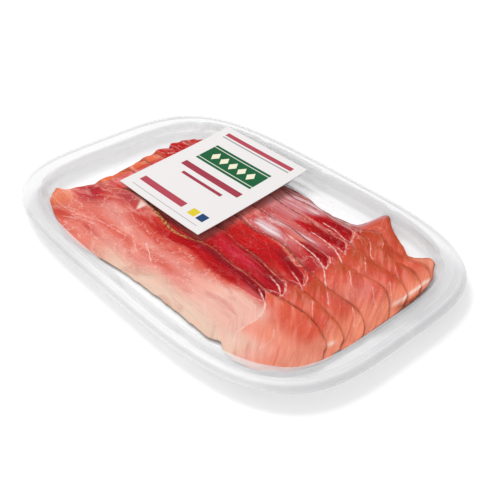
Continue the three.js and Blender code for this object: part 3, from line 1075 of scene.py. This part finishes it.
def film_material():
    """Nearly clear film with two streaky gleams and a pale haze above the back of the pile, all of them
    painted highlights made white in its colour and alpha.
    """
    paint = Paint("clear_lid_film")
    at = paint.position()
    x, y, _ = paint.split(paint.scaled(at, 1000, 1000, 1000))
    warp = paint.noise(at, 60, 3, 0.5)
    streak = paint.noise(paint.scaled(at, 18, 95, 10), 1.0, 4, 0.6, 0.8)
    streaky = streak.smooth(0.3, 0.62)
    height = FILM_SHOWN_AT - SHOWN_AT
    shown_x, shown_y = x - SHOWN_LEFT * height, y + SHOWN_BACK * height

    def soft_oval(cx, cy, rx, ry, slope):
        """1 in the middle of a long soft oval patch, 0 outside it."""
        across = (shown_y - cy - (shown_x - cx) * slope) / ry
        along = (shown_x - cx) / rx
        return (1 - (along * along + across * across + (warp - 0.5) * 1.1)).smooth(-0.2, 1.4)

    # Painted highlights: white patches where light gleams on the film
    near_gleam = soft_oval(16, 16, 13, 4.4, -0.1) * 0.42 * streaky
    far_gleam = soft_oval(14, 22.5, 9, 2.4, 0.05) * 0.3 * streaky
    haze = soft_oval(14, 55.5, 30, 3.2, 0.0) * 0.5
    return paint.surface(
        Base_Color=colour(250, 247, 249), Alpha=(0.003 + near_gleam.most(far_gleam).most(haze)).least(0.85),
        Roughness=0.16 + 0.1 * paint.noise(at, 400, 2), IOR=1.5, Normal=paint.relief(streak, 0.08, 0.5),
    )


def label_material():
    """White card with plain colour fields and a row of diamonds, laid out in the card's own millimetres."""
    paint = Paint("printed_label_card")
    a, b, _ = paint.split(paint.attribute("card"))

    def span(value, low, high, edge=0.12):
        return value.smooth(low - edge, low + edge) * value.smooth(high + edge, high - edge)

    def box(a0, a1, b0, b1):
        return span(a, a0, a1) * span(b, b0, b1)

    fibre = paint.noise(paint.position(), 1500, 3)
    blotch = paint.noise(paint.position(), 60, 2)
    base = paint.mix(fibre, colour(228, 225, 224), colour(236, 233, 232))
    green = paint.mix(blotch, colour(0, 84, 46), colour(4, 96, 54))
    base = paint.mix(box(-25, 25, 6, 25), base, green)
    base = paint.mix(box(-25, 25, 8.0, 8.6).most(box(-25, 25, 22.4, 23)), base, colour(236, 234, 222))
    cell = abs(a / 8 - (a / 8).math("ROUND"))
    diamond = (0.5 - (cell * 1.3 + abs(b - 15.5) * 0.115)).smooth(-0.02, 0.02) * span(a, -20, 20)
    base = paint.mix(diamond, base, colour(238, 232, 206))
    for place, tint in LABEL_FIELDS:
        base = paint.mix(box(*place), base, colour(*tint))
    return paint.surface(
        Base_Color=base, Roughness=0.42 + 0.15 * fibre, IOR=1.45, Specular_IOR_Level=0.12,
        Normal=paint.relief(fibre, 0.02, 0.5),
    )


def meat_flesh(paint, lay, inside, fibre, broad):
    """The stored colours, with the tone, strands, hairs and flecks that run along the fibre. They differ a
    little behind the topmost slice, which is the only one with pile at 0."""
    x, _, pile = paint.split(lay)
    behind = pile.smooth(5, 30)
    base = paint.mix(inside, paint.attribute("flesh", "Color"), paint.attribute("core", "Color"))
    depth_of_tone = 0.55 + 0.6 * inside.most(x.smooth(58, 70) * behind)
    tone = 1 + (0.7 * (fibre - 0.5) + 0.45 * (broad - 0.5)) * depth_of_tone
    base = paint.mix(1.0, base, paint.grey(tone), "MULTIPLY")
    pale = broad.smooth(0.5, 0.7) * (1 - inside) * (0.42 - 0.17 * behind)
    base = paint.mix(pale, base, colour(242, 176, 160))
    base = paint.mix(broad.smooth(0.48, 0.28) * 0.25, base, colour(196, 38, 32))
    strands = paint.noise(paint.scaled(lay, 0.045, 0.75, 1), 1.0, 3, 0.55, 0.3)
    base = paint.mix(strands.smooth(0.5, 0.36) * inside * 0.4, base, DARK_CRIMSON)
    base = paint.mix(strands.smooth(0.58, 0.72) * inside * 0.55, base, colour(226, 70, 68))
    hairs = paint.noise(paint.scaled(lay, 0.05, 1.5, 1), 1.0, 4, 0.65, 0.2).smooth(0.60, 0.70)
    base = paint.mix(hairs * (0.16 + 0.06 * behind) * (1 - 0.85 * inside), base, colour(240, 140, 122))
    flecks = paint.noise(paint.scaled(lay, 0.32, 1.3, 1), 1.0, 3, 0.6, 0.4).smooth(0.66, 0.74)
    return paint.mix(flecks * (0.5 - 0.36 * inside), base, colour(244, 178, 162))


def meat_veins(paint, lay, inside, grain, eye, fade):
    """How strong a white vein is: a fine net, the slice's own veins and the rim of the long red muscle."""
    x, _, _ = paint.split(lay)
    warp = paint.scaled(paint.noise(lay, 0.16, 3, 0.6, output="Color"), 1.6, 1.6, 0)
    net = paint.cell_edges(paint.added(paint.scaled(lay, 0.07, 0.13, 1), warp))
    veins = net.smooth(0.04, 0.0) * grain.smooth(0.42, 0.58)
    veins = veins * (0.8 - 0.62 * inside) * (1 - 0.72 * x.smooth(56, 66))
    bend = (paint.noise(lay, 0.7, 3, 0.6) - 0.5) * 2.0
    broken = 0.35 + 0.8 * paint.noise(lay, 0.4, 3).smooth(0.35, 0.6)
    for name in VEIN_SETS:
        distances = paint.split(paint.attribute(f"vein_{name}"))
        gains = paint.split(paint.attribute(f"gain_{name}"))
        for distance, gain in zip(distances, gains):
            width = 0.18 + gain * 0.26
            veins = veins.most((abs(distance + bend) / width).smooth(1.3, 0.3) * gain * broken)
    return veins.most(abs(eye).smooth(0.4, 0.05) * fade * broken)


def meat_film_haze_and_reflection(paint, base, lay, veil):
    """The pale streaks of film that clings to the back of the pile: its milky haze and a painted reflection,
    laid over the meat's colour.
    """
    streak = paint.noise(paint.scaled(lay, 0.035, 0.5, 1), 1.0, 4, 0.6, 0.5)
    cling = veil * (0.5 + 0.8 * streak.smooth(0.3, 0.65))
    haze = paint.mix((cling + streak * 0.3).smooth(0.95, 1.6), colour(208, 142, 148), colour(236, 214, 218))
    return paint.mix(cling * 0.66, base, haze)


def meat_painted_shade_and_smudges(paint, base, lay, rim, over, grain, broad):
    """Painted shade where a slice goes under the one above it, and rusty smudges by the crust on the right.
    """
    x, _, _ = paint.split(lay)
    right = x.smooth(58, 72)
    # Painted shade on each slice just behind the edge of the slice above it
    under = over.smooth(2.4, 0.0) * (0.4 + 0.5 * right) * (0.6 + 0.8 * grain) * x.smooth(108, 90)
    base = paint.mix(under, base, paint.mix(right, colour(84, 8, 16), colour(134, 48, 22)))
    smudge = (rim * 0.3).smooth(1.15, 0.1) * broad.smooth(0.4, 0.56) * x.smooth(58, 66) * x.smooth(103, 92)
    rusty = paint.mix(grain.smooth(0.4, 0.6), colour(168, 62, 34), colour(206, 92, 46))
    return paint.mix(smudge * 0.75, base, rusty)


def meat_crust(paint, lay):
    """The spiced crust: dark red, with golden specks on the left of the topmost slice, and orange on the
    right."""
    x, _, pile = paint.split(lay)
    spots =paint.noise(paint.scaled(lay, 0.5, 1.1, 1), 1.0, 4, 0.7)
    golden = paint.mix(spots.smooth(0.44, 0.54), colour(84, 24, 20), colour(222, 160, 88))
    bark = paint.mix(spots.smooth(0.46, 0.62), colour(108, 20, 22), colour(206, 122, 92))
    bark = paint.mix(pile.smooth(30, 10) * x.smooth(20, 0), bark, golden)
    rind = paint.mix(spots.smooth(0.4, 0.6), colour(176, 58, 30), colour(230, 112, 66))
    return paint.mix(x.smooth(56, 68), bark, rind)


def meat_material():
    """Cured meat, from the colours and fields that paint_slice() stores."""
    paint = Paint("cured_meat")
    lay = paint.attribute("lay")
    eye, sharp, fade = paint.split(paint.attribute("eye"))
    rim, over, veil = paint.split(paint.attribute("rim"))
    fibre = paint.noise(paint.scaled(lay, 0.06, 0.9, 1), 1.0, 5, 0.6, 0.3)
    broad = paint.noise(paint.scaled(lay, 0.05, 0.16, 1), 1.0, 3, 0.55, 0.6)
    grain = paint.noise(lay, 1.4, 3, 0.6)
    eye = eye + (paint.noise(lay, 0.45, 3) - 0.5) * 1.6
    inside = (eye * sharp).smooth(-0.9, 0.9)

    base = meat_flesh(paint, lay, inside, fibre, broad)
    veins = meat_veins(paint, lay, inside, grain, eye, fade)
    base = paint.mix(veins * 0.9, base, colour(248, 204, 194))
    base = meat_film_haze_and_reflection(paint, base, lay, veil)
    base = meat_painted_shade_and_smudges(paint, base, lay, rim, over, grain, broad)
    crusted = (rim + (grain - 0.5) * 1.5).smooth(1.15, 0.6) * 0.85
    base = paint.mix(crusted, base, meat_crust(paint, lay))
    return paint.surface(
        Base_Color=base, Roughness=0.36 + 0.2 * grain, IOR=1.4, Specular_IOR_Level=0.03,
        Subsurface_Weight=0.06, Subsurface_Radius=(0.004, 0.0012, 0.0008), Subsurface_Scale=0.3,
        Normal=paint.relief(fibre * 0.6 + grain * 0.4 + veins * 0.4, 0.16, 0.8),
    )


def floor_material():
    paint = Paint("studio_floor")
    cloud = paint.noise(paint.position(), 3, 2)
    return paint.surface(
        Base_Color=paint.mix(cloud, (0.885, 0.885, 0.89), (0.90, 0.90, 0.90)), Roughness=0.8,
        Emission_Color=(1, 1, 1), Emission_Strength=0.02,
    )


# ---------------------------------------------------------------- studio

def make_studio():
    """A pale floor, an even white world and one large soft light high on the left."""
    clear_selection()
    bpy.ops.mesh.primitive_plane_add(size=FLOOR_SIZE)
    floor = name_piece("studio_floor")
    floor.data.materials.append(floor_material())
    floor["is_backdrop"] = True
    world = bpy.data.worlds.new("studio")
    bpy.context.scene.world = world
    world.use_nodes = True
    background = world.node_tree.nodes["Background"]
    background.inputs["Color"].default_value = WORLD_WHITE
    background.inputs["Strength"].default_value = WORLD_STRENGTH
    bpy.ops.object.light_add(type="AREA", location=LIGHT_PLACE)
    key = bpy.context.object
    key.data.shape = "DISK"
    key.data.size = LIGHT_SIZE
    key.data.energy = LIGHT_ENERGY
    key.rotation_euler = (Vector((0, 0, 0)) - key.location).to_track_quat("-Z", "Y").to_euler()
    bpy.context.scene.view_settings.view_transform = "Standard"


def make_camera():
    data = bpy.data.cameras.new("camera")
    data.sensor_width = CAMERA_SENSOR
    data.lens = CAMERA_LENS
    camera = bpy.data.objects.new("camera", data)
    bpy.context.scene.collection.objects.link(camera)
    level = math.cos(CAMERA_ELEVATION)
    out = Vector((
        math.sin(CAMERA_AZIMUTH) * level,
        -math.cos(CAMERA_AZIMUTH) * level,
        math.sin(CAMERA_ELEVATION),
    ))
    camera.location = Vector(CAMERA_TARGET) + out * CAMERA_DISTANCE
    camera.rotation_euler = (-out).to_track_quat("-Z", "Y").to_euler()
    bpy.context.scene.camera = camera


# ---------------------------------------------------------------- assembly

make_studio()
make_camera()
finish_piece(make_tray(), tray_material(), "tray_plastic", "tray")
meat = meat_material()
for number in range(SLICES):
    finish_piece(make_slice(number), meat, "meat", f"slice_{number + 1}")
film = make_film()
film.visible_shadow = False
finish_piece(film, film_material(), "film", "lid_film")
finish_piece(make_label(), label_material(), "label_card", "label")

({"cad": [list(corner) for corner in cad_box],
           "visual": [list(corner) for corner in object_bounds()]})
